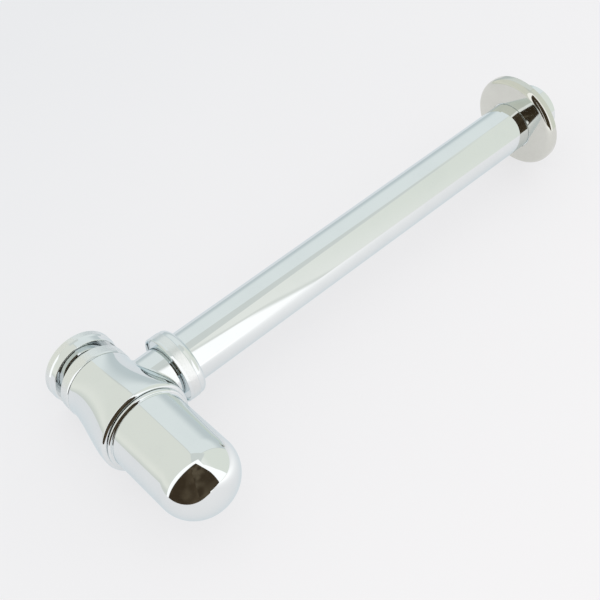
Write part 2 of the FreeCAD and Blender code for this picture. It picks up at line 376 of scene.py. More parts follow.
@dataclass(frozen=True)
class ChromePlate:
    """Mirror-bright chrome on brass, with faint haze and polishing marks."""

    name: str = "chrome_plate_bright"
    clear: Colour = (0.818, 0.842, 0.845)
    hazed: Colour = (0.801, 0.826, 0.831)
    edge: Colour = (0.840, 0.905, 0.930)
    rough: Span = (0.022, 0.055)
    haze: Cloud = Cloud(46.0, 5.0, 0.6, (0.42, 0.72))
    marks: Cloud = Cloud(2600.0, 2.0, stretch=(1.0, 0.08, 1.0))
    mark_depth: float = 0.0000015
    mark_share: float = 0.35

    def make(self) -> bpy.types.Material:
        """Writes the finish.

        Returns:
            The chrome material.
        """
        material, graph = new_material(self.name)
        haze = self.haze.patches(graph)
        surface = graph.node(
            "ShaderNodeBsdfPrincipled",
            sockets={
                "Base Color": graph.mix(haze, self.clear, self.hazed),
                "Metallic": 1.0,
                "Specular Tint": opaque(self.edge),
                "Roughness": haze.between(*self.rough),
                "Normal": graph.bump(self.marks.raw(graph), self.mark_depth, self.mark_share),
            },
        )
        close_material(graph, surface)
        return material


KNURLED_CHROME = ChromePlate(
    name="chrome_plate_knurled",
    clear=(0.828, 0.840, 0.835),
    hazed=(0.808, 0.820, 0.817),
    rough=(0.18, 0.25),
)


@dataclass(frozen=True)
class PolishedSteel:
    """Pressed stainless sheet with rings left by its polishing wheel."""

    name: str = "polished_steel_warm"
    pale: Colour = (0.705, 0.708, 0.660)
    deep: Colour = (0.675, 0.676, 0.628)
    rough: Span = (0.050, 0.100)
    worn: Cloud = Cloud(75.0, 4.0, 0.6, (0.38, 0.75))
    waver: Cloud = Cloud(60.0)
    waver_reach: float = 2.0
    ring_scale: float = 4200.0
    ring_depth: float = 0.000002
    ring_share: float = 0.4
    ring_dull: float = 0.006

    def _rings(self, graph: Graph) -> Wire:
        """Fine rings round the flange's hole.

        Args:
            graph: the material's graph.

        Returns:
            A value from -1 to 1.
        """
        spread = graph.place((1.0, 0.0, 1.0), (0.0, 0.0, OUTLET_HEIGHT))
        radius = graph.node("ShaderNodeVectorMath", {"operation": "LENGTH"}, {0: spread}, "Value")
        return (radius * self.ring_scale + self.waver.raw(graph) * self.waver_reach).sine()

    def make(self) -> bpy.types.Material:
        """Writes the finish.

        Returns:
            The steel material.
        """
        material, graph = new_material(self.name)
        rings = self._rings(graph)
        worn = self.worn.patches(graph)
        surface = graph.node(
            "ShaderNodeBsdfPrincipled",
            sockets={
                "Base Color": graph.mix(worn, self.pale, self.deep),
                "Metallic": 1.0,
                "Roughness": worn.between(*self.rough) + rings * self.ring_dull,
                "Normal": graph.bump(rings, self.ring_depth, self.ring_share),
            },
        )
        close_material(graph, surface)
        return material


@dataclass(frozen=True)
class Moulded:
    """Moulded finish with patches of a second tone and a fine grain."""

    name: str
    plain: Colour
    bloom: Colour
    rough: Span
    patch: Cloud
    grain: Cloud
    grain_depth: float
    grain_share: float

    def make(self) -> bpy.types.Material:
        """Writes the finish.

        Returns:
            The moulded material.
        """
        material, graph = new_material(self.name)
        patch = self.patch.patches(graph)
        surface = graph.node(
            "ShaderNodeBsdfPrincipled",
            sockets={
                "Base Color": graph.mix(patch, self.plain, self.bloom),
                "Roughness": patch.between(*self.rough),
                "Normal": graph.bump(self.grain.raw(graph), self.grain_depth, self.grain_share),
            },
        )
        close_material(graph, surface)
        return material


@dataclass(frozen=True)
class SealRubber(Moulded):
    """Black moulded rubber with a dusty bloom."""

    name: str = "seal_rubber_black"
    plain: Colour = (0.022, 0.022, 0.023)
    bloom: Colour = (0.062, 0.061, 0.060)
    rough: Span = (0.48, 0.74)
    patch: Cloud = Cloud(160.0, 5.0, 0.65, (0.40, 0.80))
    grain: Cloud = Cloud(1900.0, 2.0)
    grain_depth: float = 0.00002
    grain_share: float = 0.5


@dataclass(frozen=True)
class SlipPlastic(Moulded):
    """Plain white moulded plastic, a little waxy."""

    name: str = "slip_plastic_white"
    plain: Colour = (0.86, 0.86, 0.84)
    bloom: Colour = (0.80, 0.795, 0.765)
    rough: Span = (0.34, 0.48)
    patch: Cloud = Cloud(90.0, span=(0.35, 0.8))
    grain: Cloud = Cloud(1500.0, 2.0)
    grain_depth: float = 0.000012
    grain_share: float = 0.4


@dataclass(frozen=True)
class WhiteSheet:
    """Matt white paper under the trap, seen from its upper side only, with painted light: its
    colour grows brighter towards the front.
    """

    name: str = "white_sheet"
    # Painted light: the paper's colour runs from far, dimmer, to near, brighter towards the front
    # (towards -Z).
    far: Colour = (0.824, 0.832, 0.848)
    near: Colour = (0.918, 0.910, 0.918)
    painted_light_way: Triple = (0.0, 0.22, -1.0)
    start: float = -0.306
    length: float = 0.600
    mottle: Cloud = Cloud(9.0)
    mottle_reach: float = 0.06
    lit: float = 0.76
    # Painted light: a brighter spot on the paper in front of the trap, shown only to reflected
    # rays.
    gleam: Colour = (1.43, 1.43, 1.42)
    gleam_way: Triple = (0.0, 0.0, -1.0)
    gleam_across: Triple = (0.0, 1.0, 0.0)
    gleam_front: Span = (0.02, 0.32)
    gleam_rise: Span = (0.03, 0.14)
    gleam_fall: Span = (0.09, 0.37)

    def _gleam(self, graph: Graph) -> Wire:
        """The painted pool of light in front of the trap, which only reflections show.

        Args:
            graph: the material's graph.

        Returns:
            1 in the spot, 0 away from it.
        """
        forward = graph.dot(graph.place(), self.gleam_way).ramp(*self.gleam_front)
        across = graph.dot(graph.place(), self.gleam_across)
        return forward * across.ramp(*self.gleam_rise) * (1.0 - across.ramp(*self.gleam_fall))

    def make(self) -> bpy.types.Material:
        """Writes the finish.

        Returns:
            The paper material.
        """
        material, graph = new_material(self.name)
        # Painted light: the paper is painted brighter along this way, with a random mottle on top.
        along = graph.dot(graph.place(), self.painted_light_way)
        mottle = self.mottle.raw(graph).between(-self.mottle_reach, self.mottle_reach)
        tone = graph.mix((along - self.start) / self.length + mottle, self.far, self.near)
        matt = graph.node("ShaderNodeBsdfDiffuse", sockets={"Color": tone})
        mirrored = graph.light_path("Is Glossy Ray")
        shown = graph.mix(self._gleam(graph) * mirrored, tone, self.gleam)
        # For camera and reflected rays the paper glows with this painted tone, which also weakens
        # the object's shadow on it.
        glow = graph.node("ShaderNodeEmission", sockets={"Color": shown, "Strength": 1.0})
        share = graph.light_path("Is Camera Ray").either(mirrored) * self.lit
        clear = graph.node("ShaderNodeBsdfTransparent")
        under = graph.node("ShaderNodeNewGeometry", output="Backfacing")
        paper = graph.mixed_shader(share, matt, glow)
        close_material(graph, graph.mixed_shader(under, paper, clear))
        return material


@dataclass(frozen=True)
class Corner:
    """One corner of a turned section, in millimetres."""

    radius: float
    height: float
    rounding: float = 0.0


@dataclass(frozen=True)
class Band:
    """A straight stretch of a turned section that gets rows of vertices, in millimetres."""

    radius: float
    low: float
    high: float
    rows: int


class Section:
    """Half section of a turned piece, drawn like a pen line from one vertex; millimetres."""

    LEAST_SEGMENTS = 5
    SEGMENTS_PER_MM = 4.0

    def __init__(self, radius: float, height: float) -> None:
        """Starts the line.

        Args:
            radius: distance from the axis.
            height: place along the axis.
        """
        self.mesh = bmesh.new()
        self.first = self.mesh.verts.new((radius * MM, 0.0, height * MM))
        self.tip = self.first
        self.rounded: Dict[float, List[bmesh.types.BMVert]] = {}

    def line(self, corner: Corner) -> "Section":
        """Straight stretch to a corner.

        Args:
            corner: the corner, whose rounding is cut when the section is turned.

        Returns:
            The section.
        """
        made = self.mesh.verts.new((corner.radius * MM, 0.0, corner.height * MM))
        self.mesh.edges.new((self.tip, made))
        if corner.rounding:
            self.rounded.setdefault(corner.rounding, []).append(made)
        self.tip = made
        return self

    def arc(self, radius: float, height: float, degrees: float, steps: int) -> "Section":
        """Arc from the line's tip.

        Args:
            radius: the arc's centre, from the axis.
            height: the arc's centre, along the axis.
            degrees: the arc's angle, positive from the radius down.
            steps: its divisions.

        Returns:
            The section.
        """
        made = bmesh.ops.spin(
            self.mesh,
            geom=[self.tip],
            cent=(radius * MM, 0.0, height * MM),
            axis=(0.0, 1.0, 0.0),
            dvec=(0.0, 0.0, 0.0),
            angle=math.radians(degrees),
            steps=steps,
        )
        self.tip = made["geom_last"][0]
        return self

    def close(self) -> "Section":
        """Joins the tip to the first vertex."""
        self.mesh.edges.new((self.tip, self.first))
        return self

    def _find(self, band: Band) -> bmesh.types.BMEdge:
        """Longest edge of the section on a band.

        Args:
            band: the stretch to look for.

        Returns:
            The edge.
        """
        low, high = band.low * MM - ON_WALL, band.high * MM + ON_WALL
        upright = [
            e
            for e in self.mesh.edges
            if all(abs(v.co.x - band.radius * MM) < ON_WALL for v in e.verts)
            and all(low < v.co.z < high for v in e.verts)
        ]
        return max(upright, key=lambda e: e.calc_length())

    def turn(self, steps: int, bands: Sequence[Band] = ()) -> bmesh.types.BMesh:
        """Rounds the corners and turns the section round Z.

        Args:
            steps: divisions of the full turn.
            bands: stretches that get rows of vertices.

        Returns:
            The closed mesh, smooth, with its normals outwards.
        """
        mesh = self.mesh
        for rounding in sorted(self.rounded):
            segments = max(self.LEAST_SEGMENTS, round(self.SEGMENTS_PER_MM * rounding))
            bmesh.ops.bevel(
                mesh,
                geom=self.rounded[rounding],
                offset=rounding * MM,
                offset_type="OFFSET",
                affect="VERTICES",
                segments=segments,
                profile=0.5,
                material=-1,
            )
        for band in bands:
            bmesh.ops.subdivide_edges(mesh, edges=[self._find(band)], cuts=band.rows - 1)
        bmesh.ops.spin(
            mesh,
            geom=mesh.verts[:] + mesh.edges[:],
            cent=(0.0, 0.0, 0.0),
            axis=(0.0, 0.0, 1.0),
            dvec=(0.0, 0.0, 0.0),
            angle=FULL_TURN,
            steps=steps,
            use_merge=True,
        )
        bmesh.ops.remove_doubles(mesh, verts=mesh.verts[:], dist=WELD)
        bmesh.ops.recalc_face_normals(mesh, faces=mesh.faces[:])
        for face in mesh.faces:
            face.smooth = True
        return mesh


def ring_section(corners: Sequence[Corner]) -> Section:
    """Closed section of a ring.

    Args:
        corners: its corners in order, the first with no rounding.

    Returns:
        The section.
    """
    section = Section(corners[0].radius, corners[0].height)
    for corner in corners[1:]:
        section.line(corner)
    return section.close()


def push(vert: bmesh.types.BMVert, reach: float) -> None:
    """Moves a vertex away from the Z axis.

    Args:
        vert: the vertex.
        reach: distance in metres, negative towards the axis.
    """
    out = Vector((vert.co.x, vert.co.y, 0.0)).normalized()
    vert.co += out * reach


@dataclass(frozen=True)
class Knurl:
    """Fine diamond knurling on a turned band."""

    band: Band
    steps: int
    depth: float
    margin: float = 0.08

    def cut(self, mesh: bmesh.types.BMesh) -> None:
        """Sinks every other vertex of the band and splits its faces along the grooves.

        Args:
            mesh: a ring turned with the same band and steps.
        """
        pitch = (self.band.high - self.band.low) * MM / self.band.rows
        edge = self.margin * MM / pitch
        inside = set()
        for vert in mesh.verts:
            radius = math.hypot(vert.co.x, vert.co.y)
            row = (vert.co.z - self.band.low * MM) / pitch
            below = self.band.radius * MM - radius
            if below > self.margin * MM or not -edge < row < self.band.rows + edge:
                continue
            row = max(0.0, min(float(self.band.rows), row))
            step = round(math.atan2(vert.co.y, vert.co.x) / FULL_TURN * self.steps)
            inside.add(vert)
            if (step + round(row)) % 2:
                push(vert, -self.depth * MM)
        patch = [f for f in mesh.faces if all(v in inside for v in f.verts)]
        made = bmesh.ops.triangulate(mesh, faces=patch, quad_method="SHORT_EDGE")
        for face in made["faces"]:
            face.smooth = False
            face.material_index = 1


@dataclass(frozen=True)
class Groove:
    """Female thread cut into the wall of a bore."""

    band: Band
    pitch: float
    depth: float
    plain_end: float = 0.001
    fade_rate: float = 8.0

    def cut(self, mesh: bmesh.types.BMesh) -> None:
        """Pushes the bore's vertices out along a right-hand helix.

        Args:
            mesh: a ring turned with the same band.
        """
        length = (self.band.high - self.band.low) * MM
        for vert in mesh.verts:
            if abs(math.hypot(vert.co.x, vert.co.y) - self.band.radius * MM) > ON_WALL:
                continue
            along = (vert.co.z - self.band.low * MM) / length
            if not self.plain_end < along < 1.0 - self.plain_end:
                continue
            turn = math.atan2(vert.co.y, vert.co.x) / FULL_TURN
            phase = (vert.co.z / (self.pitch * MM) - turn) % 1.0
            fade = min(1.0, self.fade_rate * along, self.fade_rate * (1.0 - along))
            push(vert, self.depth * MM * fade * (1.0 - abs(2.0 * phase - 1.0)))


def soften(mesh: bmesh.types.BMesh, limit: float = 32.0) -> None:
    """Smooth shading with sharp edges kept sharp.

    Args:
        mesh: the mesh; faces already marked flat stay flat.
        limit: angle in degrees above which an edge is sharp.
    """
    for edge in mesh.edges:
        if len(edge.link_faces) == 2:
            edge.smooth = edge.calc_face_angle(0.0) < math.radians(limit)


def new_object(
    mesh: bmesh.types.BMesh, name: str, materials: Sequence[bpy.types.Material]
) -> bpy.types.Object:
    """Object at the origin, linked to the scene.

    Args:
        mesh: the finished mesh, which is freed.
        name: the object's name.
        materials: its finishes, by the faces' material index.

    Returns:
        The object.
    """
    data = bpy.data.meshes.new(name)
    mesh.to_mesh(data)
    mesh.free()
    for material in materials:
        data.materials.append(material)
    made = bpy.data.objects.new(name, data)
    bpy.context.scene.collection.objects.link(made)
    return made


def place_piece(
    mesh: bmesh.types.BMesh,
    name: str,
    run: Run,
    materials: Sequence[bpy.types.Material],
    body: Body,
) -> bpy.types.Object:
    """Object from a mesh turned round Z, riding on a body.

    Args:
        mesh: the finished mesh, which is freed.
        name: the piece's name.
        run: the line that it lies on.
        materials: its finishes, by the faces' material index.
        body: the body that it moves with.

    Returns:
        The object.
    """
    bmesh.ops.transform(mesh, matrix=run_matrix(run), verts=mesh.verts[:])
    piece = new_object(mesh, name, materials)
    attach(piece, body.value)
    LOG.info("%s: %d faces on %s", name, len(piece.data.polygons), body.value)
    return piece


@dataclass
class ScrewNut:
    """A knurled nut with a threaded bore; the sizes are in millimetres."""

    name: str
    node: str
    body: Body
    run: Run
    corners: List[Corner]
    knurl: Knurl
    groove: Groove

    def build(self, plain: bpy.types.Material, knurled: bpy.types.Material) -> bpy.types.Object:
        """Turns, knurls and threads the nut.

        Args:
            plain: finish of its plain faces.
            knurled: finish of its knurled band.

        Returns:
            The nut, which stands for its CAD node.
        """
        bands = (self.knurl.band, self.groove.band)
        mesh = ring_section(self.corners).turn(self.knurl.steps, bands)
        self.knurl.cut(mesh)
        self.groove.cut(mesh)
        soften(mesh)
        nut = place_piece(mesh, self.name, self.run, (plain, knurled), self.body)
        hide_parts(self.node)
        return nut


@dataclass
class DomedCup:
    """Screw-on cup with a collar and a bowl of two tangent arcs; millimetres."""

    wall_r: float = 24.1
    bore_r: float = 22.6
    thread_r: float = 24.7
    collar_r: float = 26.0
    top: float = -62.7
    collar_top: float = -69.6
    collar_bottom: float = -71.5
    dome_top: float = -113.9
    side_inset: float = 2.6
    crown_extra: float = 7.5
    mouth_rounding: float = 0.2
    thread_rounding: float = 0.4
    collar_edge: float = 0.35
    collar_foot: float = 1.2
    collar_root: float = 0.4
    crown_steps: int = 14
    side_steps: int = 40
    steps: int = 288

    def section(self) -> Section:
        """Draws the cup's section, from the bowl's inside to its outside.

        Returns:
            The section.
        """
        lift = math.sqrt(self.crown_extra**2 - self.side_inset**2)
        side_angle = math.degrees(math.atan2(lift, self.side_inset))
        crown_angle = 90.0 - side_angle
        crown = self.dome_top + lift
        inside = self.bore_r - self.side_inset + self.crown_extra
        section = Section(0.0, crown - inside)
        section.arc(0.0, crown, -crown_angle, self.crown_steps)
        section.arc(self.side_inset, self.dome_top, -side_angle, self.side_steps)
        section.line(Corner(self.bore_r, self.top, self.mouth_rounding))
        section.line(Corner(self.thread_r, self.top, self.thread_rounding))
        section.line(Corner(self.thread_r, self.collar_top))
        section.line(Corner(self.collar_r, self.collar_top, self.collar_edge))
        section.line(Corner(self.collar_r, self.collar_bottom, self.collar_foot))
        section.line(Corner(self.wall_r, self.collar_bottom, self.collar_root))
        section.line(Corner(self.wall_r, self.dome_top))
        section.arc(self.side_inset, self.dome_top, side_angle, self.side_steps)
        section.arc(0.0, crown, crown_angle, self.crown_steps)
        return section

    def build(self, material: bpy.types.Material) -> bpy.types.Object:
        """Turns the cup.

        Args:
            material: its finish.

        Returns:
            The cup, which stands for its CAD node.
        """
        mesh = self.section().turn(self.steps)
        soften(mesh)
        cup = place_piece(mesh, "cup_domed", Run.BOTTLE, (material,), Body.CUP)
        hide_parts("cup")
        return cup


@dataclass
class WallFlange:
    """Pressed rosette with a dished face, a rounded rim and a short skirt; millimetres."""

    hole_r: float = TUBE_HOLE_R
    rim_r: float = 31.7
    sheet: float = 0.9
    front: float = 323.8
    back: float = 333.6
    rise: float = 3.5
    rim_rounding: float = 3.2
    hole_rounding: float = 0.4
    skirt_rounding: float = 0.3
    inner_rounding: float = 0.2
    steps: int = 256

    def corners(self) -> List[Corner]:
        """Lays out the sheet's section.

        Returns:
            The section's corners.
        """
        rim = self.front + self.rise
        inner = self.rim_r - self.sheet
        return [
            Corner(self.hole_r, self.front + self.sheet),
            Corner(self.hole_r, self.front, self.hole_rounding),
            Corner(self.rim_r, rim, self.rim_rounding),
            Corner(self.rim_r, self.back, self.skirt_rounding),
            Corner(inner, self.back, self.inner_rounding),
            Corner(inner, rim + self.sheet, self.rim_rounding - self.sheet),
        ]

    def build(self, material: bpy.types.Material) -> bpy.types.Object:
        """Turns the rosette.

        Args:
            material: its finish.

        Returns:
            The rosette, which stands for its CAD node.
        """
        mesh = ring_section(self.corners()).turn(self.steps)
        soften(mesh)
        flange = place_piece(
            mesh, "wall_rosette", Run.OUTLET, (material,), Body.FLANGE
        )
        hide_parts("wall_flange")
        return flange


@dataclass
class ThreadRidge:
    """Male thread that stands a little proud of a plain CAD cylinder; millimetres."""

    name: str
    body: Body
    run: Run
    root: float
    crest: float
    pitch: float
    low: float
    turns: float
    steps_in_turn: int = 120
    sunk: float = 0.06
    foot_share: float = 0.36
    top_share: float = 0.07
    fade_rate: float = 4.0

    def build(self, material: bpy.types.Material) -> bpy.types.Object:
        """Screws a small ridge section along its cylinder.

        Args:
            material: its finish.

        Returns:
            The thread.
        """
        mesh = bmesh.new()
        foot, top = self.foot_share * self.pitch, self.top_share * self.pitch
        section = (
            (self.root - self.sunk, -foot),
            (self.crest, -top),
            (self.crest, top),
            (self.root - self.sunk, foot),
        )
        verts = [mesh.verts.new((r * MM, 0.0, (self.low + z) * MM)) for r, z in section]
        for a, b in zip(verts, verts[1:] + verts[:1]):
            mesh.edges.new((a, b))
        steps = round(self.turns * self.steps_in_turn)
        bmesh.ops.spin(
            mesh,
            geom=mesh.verts[:] + mesh.edges[:],
            cent=(0.0, 0.0, 0.0),
            axis=(0.0, 0.0, 1.0),
            dvec=(0.0, 0.0, self.pitch * MM / self.steps_in_turn),
            angle=self.turns * FULL_TURN,
            steps=steps,
        )
        self._run_out(mesh)
        bmesh.ops.holes_fill(mesh, edges=[e for e in mesh.edges if e.is_boundary], sides=0)
        bmesh.ops.recalc_face_normals(mesh, faces=mesh.faces[:])
        for face in mesh.faces:
            face.smooth = True
        soften(mesh)
        return place_piece(mesh, self.name, self.run, (material,), self.body)

    def _run_out(self, mesh: bmesh.types.BMesh) -> None:
        """Lets the crest fade into the cylinder at both ends.

        Args:
            mesh: the screwed ridge.
        """
        middle = (self.root + self.crest) / 2.0 * MM
        for vert in mesh.verts:
            if math.hypot(vert.co.x, vert.co.y) < middle:
                continue
            turned = (vert.co.z / MM - self.low) / self.pitch
            to_end = min(turned, self.turns - turned)
            fade = max(0.0, min(1.0, self.fade_rate * to_end))
            push(vert, (self.root - self.crest) * MM * (1.0 - fade))


def inlet_nut() -> ScrewNut:
    """Sizes of the coupling nut for the basin waste.

    Returns:
        The nut, not built yet.
    """
    knurl = Band(22.7, -4.0, -0.4, rows=7)
    bore = Band(19.5, -4.8, -0.4, rows=20)
    corners = [
        Corner(19.9, 0.0),
        Corner(22.7, 0.0, 0.4),
        Corner(22.7, -4.05, 0.05),
        Corner(22.2, -5.17, 0.05),
        Corner(21.9, -9.4, 0.45),
        Corner(TUBE_HOLE_R, -9.4, 0.15),
        Corner(TUBE_HOLE_R, -7.8),
        Corner(19.0, -7.8),
        Corner(19.0, -4.8),
        Corner(19.5, -4.8),
        Corner(19.5, -0.4),
    ]
    return ScrewNut(
        "inlet_nut_knurled",
        "inlet_nut",
        Body.INLET_NUT,
        Run.BOTTLE,
        corners,
        Knurl(knurl, KNURL_STEPS, KNURL_DEPTH),
        Groove(bore, PIPE_PITCH, depth=1.1),
    )


def neck_nut() -> ScrewNut:
    """Sizes of the compression nut on the body's neck.

    Returns:
        The nut, not built yet.
    """
    knurl = Band(22.2, -22.15, -16.2, rows=11)
    bore = Band(20.3, -22.7, -17.1, rows=26)
    corners = [
        Corner(TUBE_HOLE_R, -17.1),
        Corner(TUBE_HOLE_R, -15.7, 0.15),
        Corner(21.8, -15.7, 0.15),
        Corner(22.2, -16.1, 0.1),
        Corner(22.2, -22.2, 0.05),
        Corner(21.8, -23.2, 0.05),
        Corner(20.6, -23.2),
        Corner(20.3, -22.7),
        Corner(20.3, -17.1),
    ]
    return ScrewNut(
        "neck_nut_knurled",
        "neck_nut",
        Body.NECK_NUT,
        Run.BOTTLE,
        corners,
        Knurl(knurl, KNURL_STEPS, KNURL_DEPTH),
        Groove(bore, PIPE_PITCH, depth=0.7),
    )


def outlet_nut() -> ScrewNut:
    """Sizes of the compression nut on the outlet's collar.

    Returns:
        The nut, not built yet.
    """
    knurl = Band(21.4, 34.6, 39.7, rows=9)
    bore = Band(19.8, 34.6, 43.3, rows=40)
    corners = [
        Corner(20.5, 32.7),
        Corner(21.4, 32.7, 0.3),
        Corner(21.4, 34.6),
        Corner(21.4, 39.8, 0.1),
        Corner(21.1, 40.1, 0.1),
        Corner(21.1, 44.9, 3.4),
        Corner(TUBE_HOLE_R, 44.9, 0.15),
        Corner(TUBE_HOLE_R, 43.3),
        Corner(19.8, 43.3),
        Corner(19.8, 34.6),
        Corner(20.5, 34.3),
    ]
    return ScrewNut(
        "outlet_nut_knurled",
        "outlet_nut",
        Body.OUTLET_NUT,
        Run.OUTLET,
        corners,
        Knurl(knurl, KNURL_STEPS, FINE_KNURL_DEPTH),
        Groove(bore, COLLAR_PITCH, depth=0.55),
    )


def thread_ridges() -> List[ThreadRidge]:
    """Sizes of the male threads of the body's neck, its outlet collar and the cup.

    Returns:
        The threads, not built yet.
    """
    neck = ThreadRidge(
        "neck_thread",
        Body.TRAP,
        Run.BOTTLE,
        root=20.0,
        crest=20.2,
        pitch=PIPE_PITCH,
        low=-22.3,
        turns=1.2,
    )
    collar = ThreadRidge(
        "collar_thread",
        Body.TRAP,
        Run.OUTLET,
        root=19.5,
        crest=19.7,
        pitch=COLLAR_PITCH,
        low=35.0,
        turns=3.8,
    )
    cup = ThreadRidge(
        "cup_thread",
        Body.CUP,
        Run.BOTTLE,
        root=24.7,
        crest=24.9,
        pitch=CUP_PITCH,
        low=-69.0,
        turns=2.7,
    )
    return [neck, collar, cup]


@dataclass
class CadShell:
    """The CAD nodes that stay in view, with the finish of each slot."""

    chrome: Sequence[str] = ("inlet_tube", "trap_body", "outlet_pipe")
    rubber: Sequence[str] = ("inlet_washer", "neck_seal", "cup_seal", "outlet_seal")
    plastic: Sequence[str] = ("neck_slip_ring", "outlet_slip_ring")

    def dress(self, finishes: Mapping[Slot, bpy.types.Material]) -> None:
        """Gives each node its finish.

        Args:
            finishes: material of each slot.
        """
        groups = (
            (self.chrome, Slot.CHROME),
            (self.rubber, Slot.RUBBER),
            (self.plastic, Slot.PLASTIC),
        )
        for names, slot in groups:
            for name in names:
                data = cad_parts[name].data
                data.materials.clear()
                data.materials.append(finishes[slot])
                LOG.info("%s: %s", name, slot.value)


@dataclass
class Table:
    """White table that the trap lies on, with its front edge towards the camera."""

    normal: Triple = TABLE_NORMAL
    offset: float = -22.58
    front: Span = (-132.0, -122.0)
    along: Span = (0.559, -0.829)
    left: float = -275.0
    right: float = 380.0
    depth: float = 900.0

    def point(self, along: float, depth: float) -> Vector:
        """Point of the table's top.

        Args:
            along: millimetres along the front edge.
            depth: millimetres away from it.

        Returns:
            The point, in metres.
        """
        y = self.front[0] + self.along[0] * along - self.along[1] * depth
        z = self.front[1] + self.along[1] * along + self.along[0] * depth
        x = (self.offset - self.normal[1] * y - self.normal[2] * z) / self.normal[0]
        return Vector((x, y, z)) * MM

    def build(self) -> bpy.types.Object:
        """Makes the table's top.

        Returns:
            The top.
        """
        mesh = bmesh.new()
        corners = (
            (self.left, 0.0),
            (self.right, 0.0),
            (self.right, self.depth),
            (self.left, self.depth),
        )
        face = mesh.faces.new([mesh.verts.new(self.point(a, d)) for a, d in corners])
        face.normal_update()
        if face.normal.dot(Vector(self.normal)) < 0.0:
            face.normal_flip()
        table = new_object(mesh, "white_table", (WhiteSheet().make(),))
        return table


@dataclass(frozen=True)
class Cut:
    """Plane that parts the directions seen from the trap."""

    normal: Triple
    offset: float = 0.0


